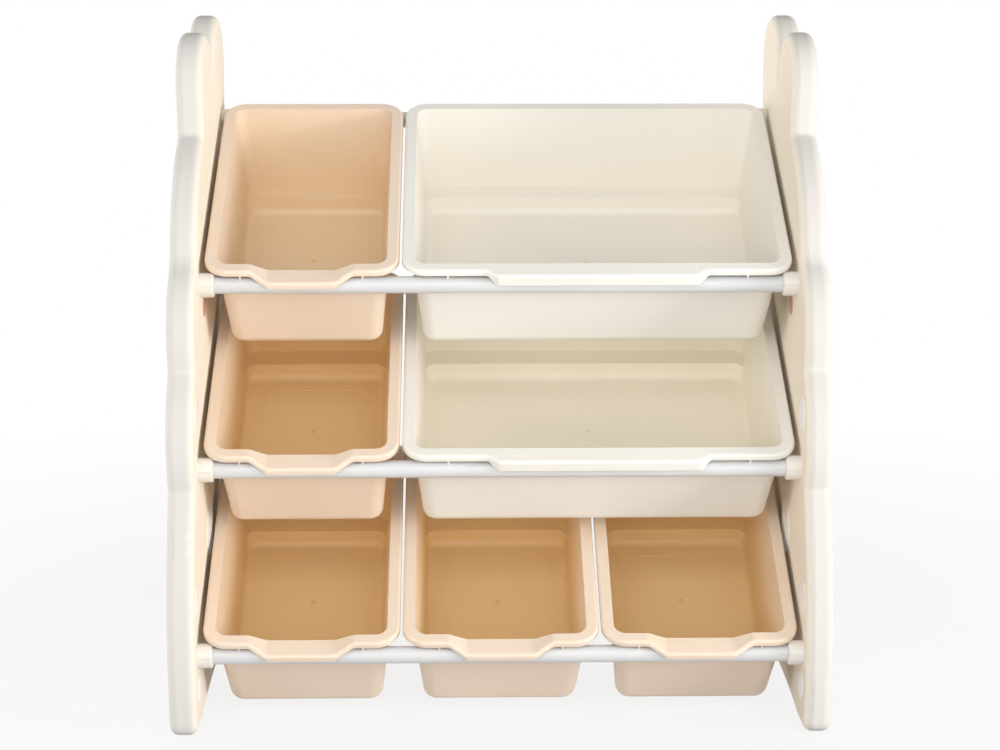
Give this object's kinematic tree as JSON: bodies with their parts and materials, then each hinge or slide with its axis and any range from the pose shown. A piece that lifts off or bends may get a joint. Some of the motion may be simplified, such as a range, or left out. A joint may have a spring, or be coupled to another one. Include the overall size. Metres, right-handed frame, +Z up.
{
  "type": "toy storage organizer",
  "caption": "Free-standing toy organizer: scalloped side panels joined by tube rails, with open bins that hang tipped forward on the rails and lift off.",
  "frame": {"origin": "centre of the footprint, on the floor", "axes": "+X along the rails to the right, +Y to the back, +Z up"},
  "size_m": [0.7224, 0.45, 0.767],
  "materials": {
    "panel_plastic": "satin, off-white",
    "rail_steel": "white powder coat",
    "socket_plastic": "satin, ivory",
    "plug_plastic": "plain, dark",
    "bolt_steel": "zinc plated",
    "small_bin_plastic": "satin, tan",
    "wide_bin_plastic": "satin, ivory"
  },
  "bodies": {
    "frame": {"side_panel_left": "panel_plastic", "side_panel_right": "panel_plastic", "rail_front_low": "rail_steel", "rail_rear_low": "rail_steel", "rail_front_middle": "rail_steel", "rail_rear_middle": "rail_steel", "rail_front_top": "rail_steel", "rail_rear_top": "rail_steel", "socket_left_front_low": "socket_plastic", "socket_left_rear_low": "socket_plastic", "socket_left_front_middle": "socket_plastic", "socket_left_rear_middle": "socket_plastic", "socket_left_front_top": "socket_plastic", "socket_left_rear_top": "socket_plastic", "socket_right_front_low": "socket_plastic", "socket_right_rear_low": "socket_plastic", "socket_right_front_middle": "socket_plastic", "socket_right_rear_middle": "socket_plastic", "socket_right_front_top": "socket_plastic", "socket_right_rear_top": "socket_plastic", "tube_plugs_left": "plug_plastic", "bolts_left": "bolt_steel", "bolt_caps_left": "panel_plastic", "tube_plugs_right": "plug_plastic", "bolts_right": "bolt_steel", "bolt_caps_right": "panel_plastic"},
    "small_bin_top": {"small_bin_top": "small_bin_plastic"},
    "wide_bin_top": {"wide_bin_top": "wide_bin_plastic"},
    "small_bin_middle": {"small_bin_middle": "small_bin_plastic"},
    "wide_bin_middle": {"wide_bin_middle": "wide_bin_plastic"},
    "small_bin_low_left": {"small_bin_low_left": "small_bin_plastic"},
    "small_bin_low_centre": {"small_bin_low_centre": "small_bin_plastic"},
    "small_bin_low_right": {"small_bin_low_right": "small_bin_plastic"}
  },
  "joints": [
    {"name": "small_bin_top_lift", "type": "slide", "parent": "frame", "child": "small_bin_top", "axis": [0, -0.5, 0.866], "range_m": [0, 0.15]},
    {"name": "wide_bin_top_lift", "type": "slide", "parent": "frame", "child": "wide_bin_top", "axis": [0, -0.5, 0.866], "range_m": [0, 0.15]},
    {"name": "small_bin_middle_lift", "type": "slide", "parent": "frame", "child": "small_bin_middle", "axis": [0, -0.5, 0.866], "range_m": [0, 0.014]},
    {"name": "wide_bin_middle_lift", "type": "slide", "parent": "frame", "child": "wide_bin_middle", "axis": [0, -0.5, 0.866], "range_m": [0, 0.014]},
    {"name": "small_bin_low_left_lift", "type": "slide", "parent": "frame", "child": "small_bin_low_left", "axis": [0, -0.5, 0.866], "range_m": [0, 0.015]},
    {"name": "small_bin_low_centre_lift", "type": "slide", "parent": "frame", "child": "small_bin_low_centre", "axis": [0, -0.5, 0.866], "range_m": [0, 0.015]},
    {"name": "small_bin_low_right_lift", "type": "slide", "parent": "frame", "child": "small_bin_low_right", "axis": [0, -0.5, 0.866], "range_m": [0, 0.015]}
  ]
}
